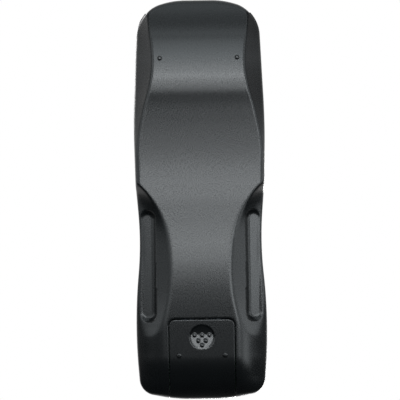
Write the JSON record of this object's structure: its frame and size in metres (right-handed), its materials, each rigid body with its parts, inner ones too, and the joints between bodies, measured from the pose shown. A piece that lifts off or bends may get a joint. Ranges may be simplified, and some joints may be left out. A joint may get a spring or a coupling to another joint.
{
  "type": "television remote control",
  "caption": "Hand-held remote control with a contoured back, finger grooves, sliding battery door and a pad of sprung keys.",
  "frame": {"origin": "centre of the bounding box at its base: under the middle of the remote, at the tips of the rest nubs it lies on", "axes": "+Y towards the end with the infrared window, +Z towards the side with the keys, +X to the right when the keys are faced with the window end up"},
  "size_m": [0.0706, 0.216, 0.0279],
  "materials": {
    "shell": "fine satin grain",
    "door": "fine satin grain",
    "window": "clear dark red",
    "board": "lacquered",
    "silicone": "matt",
    "key": "matt",
    "key_power": "matt",
    "cell": "printed jacket, satin",
    "contact": "nickel plated",
    "screw": "blackened",
    "chip": "moulded",
    "ceramic": "dipped",
    "capacitor": "sleeved",
    "led": "clear dark"
  },
  "bodies": {
    "housing": {"capacitor": "capacitor", "case_screws": "screw", "cell_left": "cell", "cell_right": "cell", "circuit_board": "board", "contact_bridge": "contact", "contact_plate_left": "contact", "contact_plate_right": "contact", "front_shell": "shell", "infrared_leds": "led", "ir_window": "window", "keypad_mat": "silicone", "microcontroller": "chip", "rear_shell": "shell", "resonator": "ceramic", "spring_left": "contact", "spring_right": "contact"},
    "battery_door": {"battery_door": "door"},
    "key_0": {"key_0": "key"},
    "key_1": {"key_1": "key"},
    "key_2": {"key_2": "key"},
    "key_3": {"key_3": "key"},
    "key_4": {"key_4": "key"},
    "key_5": {"key_5": "key"},
    "key_6": {"key_6": "key"},
    "key_7": {"key_7": "key"},
    "key_8": {"key_8": "key"},
    "key_9": {"key_9": "key"},
    "key_aux": {"key_aux": "key"},
    "key_cable": {"key_cable": "key"},
    "key_channel_down": {"key_channel_down": "key"},
    "key_channel_up": {"key_channel_up": "key"},
    "key_clear": {"key_clear": "key"},
    "key_down": {"key_down": "key"},
    "key_enter": {"key_enter": "key"},
    "key_exit": {"key_exit": "key"},
    "key_forward": {"key_forward": "key"},
    "key_guide": {"key_guide": "key"},
    "key_info": {"key_info": "key"},
    "key_input": {"key_input": "key"},
    "key_last": {"key_last": "key"},
    "key_left": {"key_left": "key"},
    "key_menu": {"key_menu": "key"},
    "key_mute": {"key_mute": "key"},
    "key_pause": {"key_pause": "key"},
    "key_play": {"key_play": "key"},
    "key_power": {"key_power": "key_power"},
    "key_record": {"key_record": "key"},
    "key_rewind": {"key_rewind": "key"},
    "key_right": {"key_right": "key"},
    "key_select": {"key_select": "key"},
    "key_stop": {"key_stop": "key"},
    "key_tv": {"key_tv": "key"},
    "key_up": {"key_up": "key"},
    "key_volume_down": {"key_volume_down": "key"},
    "key_volume_up": {"key_volume_up": "key"}
  },
  "joints": [
    {"name": "battery_door_slide", "type": "slide", "parent": "housing", "child": "battery_door", "axis": [0, -1, 0], "range_m": [0, 0.021]},
    {"name": "key_0_press", "type": "slide", "parent": "housing", "child": "key_0", "axis": [0, 0, -1], "range_m": [0, 0.001], "stiffness_N_per_m": 1500},
    {"name": "key_1_press", "type": "slide", "parent": "housing", "child": "key_1", "axis": [0, 0, -1], "range_m": [0, 0.001], "stiffness_N_per_m": 1500},
    {"name": "key_2_press", "type": "slide", "parent": "housing", "child": "key_2", "axis": [0, 0, -1], "range_m": [0, 0.001], "stiffness_N_per_m": 1500},
    {"name": "key_3_press", "type": "slide", "parent": "housing", "child": "key_3", "axis": [0, 0, -1], "range_m": [0, 0.001], "stiffness_N_per_m": 1500},
    {"name": "key_4_press", "type": "slide", "parent": "housing", "child": "key_4", "axis": [0, 0, -1], "range_m": [0, 0.001], "stiffness_N_per_m": 1500},
    {"name": "key_5_press", "type": "slide", "parent": "housing", "child": "key_5", "axis": [0, 0, -1], "range_m": [0, 0.001], "stiffness_N_per_m": 1500},
    {"name": "key_6_press", "type": "slide", "parent": "housing", "child": "key_6", "axis": [0, 0, -1], "range_m": [0, 0.001], "stiffness_N_per_m": 1500},
    {"name": "key_7_press", "type": "slide", "parent": "housing", "child": "key_7", "axis": [0, 0, -1], "range_m": [0, 0.001], "stiffness_N_per_m": 1500},
    {"name": "key_8_press", "type": "slide", "parent": "housing", "child": "key_8", "axis": [0, 0, -1], "range_m": [0, 0.001], "stiffness_N_per_m": 1500},
    {"name": "key_9_press", "type": "slide", "parent": "housing", "child": "key_9", "axis": [0, 0, -1], "range_m": [0, 0.001], "stiffness_N_per_m": 1500},
    {"name": "key_aux_press", "type": "slide", "parent": "housing", "child": "key_aux", "axis": [0, 0, -1], "range_m": [0, 0.001], "stiffness_N_per_m": 1500},
    {"name": "key_cable_press", "type": "slide", "parent": "housing", "child": "key_cable", "axis": [0, 0, -1], "range_m": [0, 0.001], "stiffness_N_per_m": 1500},
    {"name": "key_channel_down_press", "type": "slide", "parent": "housing", "child": "key_channel_down", "axis": [0, 0, -1], "range_m": [0, 0.001], "stiffness_N_per_m": 1500},
    {"name": "key_channel_up_press", "type": "slide", "parent": "housing", "child": "key_channel_up", "axis": [0, 0, -1], "range_m": [0, 0.001], "stiffness_N_per_m": 1500},
    {"name": "key_clear_press", "type": "slide", "parent": "housing", "child": "key_clear", "axis": [0, 0, -1], "range_m": [0, 0.001], "stiffness_N_per_m": 1500},
    {"name": "key_down_press", "type": "slide", "parent": "housing", "child": "key_down", "axis": [0, 0, -1], "range_m": [0, 0.001], "stiffness_N_per_m": 1500},
    {"name": "key_enter_press", "type": "slide", "parent": "housing", "child": "key_enter", "axis": [0, 0, -1], "range_m": [0, 0.001], "stiffness_N_per_m": 1500},
    {"name": "key_exit_press", "type": "slide", "parent": "housing", "child": "key_exit", "axis": [0, 0, -1], "range_m": [0, 0.001], "stiffness_N_per_m": 1500},
    {"name": "key_forward_press", "type": "slide", "parent": "housing", "child": "key_forward", "axis": [0, 0, -1], "range_m": [0, 0.001], "stiffness_N_per_m": 1500},
    {"name": "key_guide_press", "type": "slide", "parent": "housing", "child": "key_guide", "axis": [0, 0, -1], "range_m": [0, 0.001], "stiffness_N_per_m": 1500},
    {"name": "key_info_press", "type": "slide", "parent": "housing", "child": "key_info", "axis": [0, 0, -1], "range_m": [0, 0.001], "stiffness_N_per_m": 1500},
    {"name": "key_input_press", "type": "slide", "parent": "housing", "child": "key_input", "axis": [0, 0, -1], "range_m": [0, 0.001], "stiffness_N_per_m": 1500},
    {"name": "key_last_press", "type": "slide", "parent": "housing", "child": "key_last", "axis": [0, 0, -1], "range_m": [0, 0.001], "stiffness_N_per_m": 1500},
    {"name": "key_left_press", "type": "slide", "parent": "housing", "child": "key_left", "axis": [0, 0, -1], "range_m": [0, 0.001], "stiffness_N_per_m": 1500},
    {"name": "key_menu_press", "type": "slide", "parent": "housing", "child": "key_menu", "axis": [0, 0, -1], "range_m": [0, 0.001], "stiffness_N_per_m": 1500},
    {"name": "key_mute_press", "type": "slide", "parent": "housing", "child": "key_mute", "axis": [0, 0, -1], "range_m": [0, 0.001], "stiffness_N_per_m": 1500},
    {"name": "key_pause_press", "type": "slide", "parent": "housing", "child": "key_pause", "axis": [0, 0, -1], "range_m": [0, 0.001], "stiffness_N_per_m": 1500},
    {"name": "key_play_press", "type": "slide", "parent": "housing", "child": "key_play", "axis": [0, 0, -1], "range_m": [0, 0.001], "stiffness_N_per_m": 1500},
    {"name": "key_power_press", "type": "slide", "parent": "housing", "child": "key_power", "axis": [0, 0, -1], "range_m": [0, 0.001], "stiffness_N_per_m": 1500},
    {"name": "key_record_press", "type": "slide", "parent": "housing", "child": "key_record", "axis": [0, 0, -1], "range_m": [0, 0.001], "stiffness_N_per_m": 1500},
    {"name": "key_rewind_press", "type": "slide", "parent": "housing", "child": "key_rewind", "axis": [0, 0, -1], "range_m": [0, 0.001], "stiffness_N_per_m": 1500},
    {"name": "key_right_press", "type": "slide", "parent": "housing", "child": "key_right", "axis": [0, 0, -1], "range_m": [0, 0.001], "stiffness_N_per_m": 1500},
    {"name": "key_select_press", "type": "slide", "parent": "housing", "child": "key_select", "axis": [0, 0, -1], "range_m": [0, 0.001], "stiffness_N_per_m": 1500},
    {"name": "key_stop_press", "type": "slide", "parent": "housing", "child": "key_stop", "axis": [0, 0, -1], "range_m": [0, 0.001], "stiffness_N_per_m": 1500},
    {"name": "key_tv_press", "type": "slide", "parent": "housing", "child": "key_tv", "axis": [0, 0, -1], "range_m": [0, 0.001], "stiffness_N_per_m": 1500},
    {"name": "key_up_press", "type": "slide", "parent": "housing", "child": "key_up", "axis": [0, 0, -1], "range_m": [0, 0.001], "stiffness_N_per_m": 1500},
    {"name": "key_volume_down_press", "type": "slide", "parent": "housing", "child": "key_volume_down", "axis": [0, 0, -1], "range_m": [0, 0.001], "stiffness_N_per_m": 1500},
    {"name": "key_volume_up_press", "type": "slide", "parent": "housing", "child": "key_volume_up", "axis": [0, 0, -1], "range_m": [0, 0.001], "stiffness_N_per_m": 1500}
  ]
}
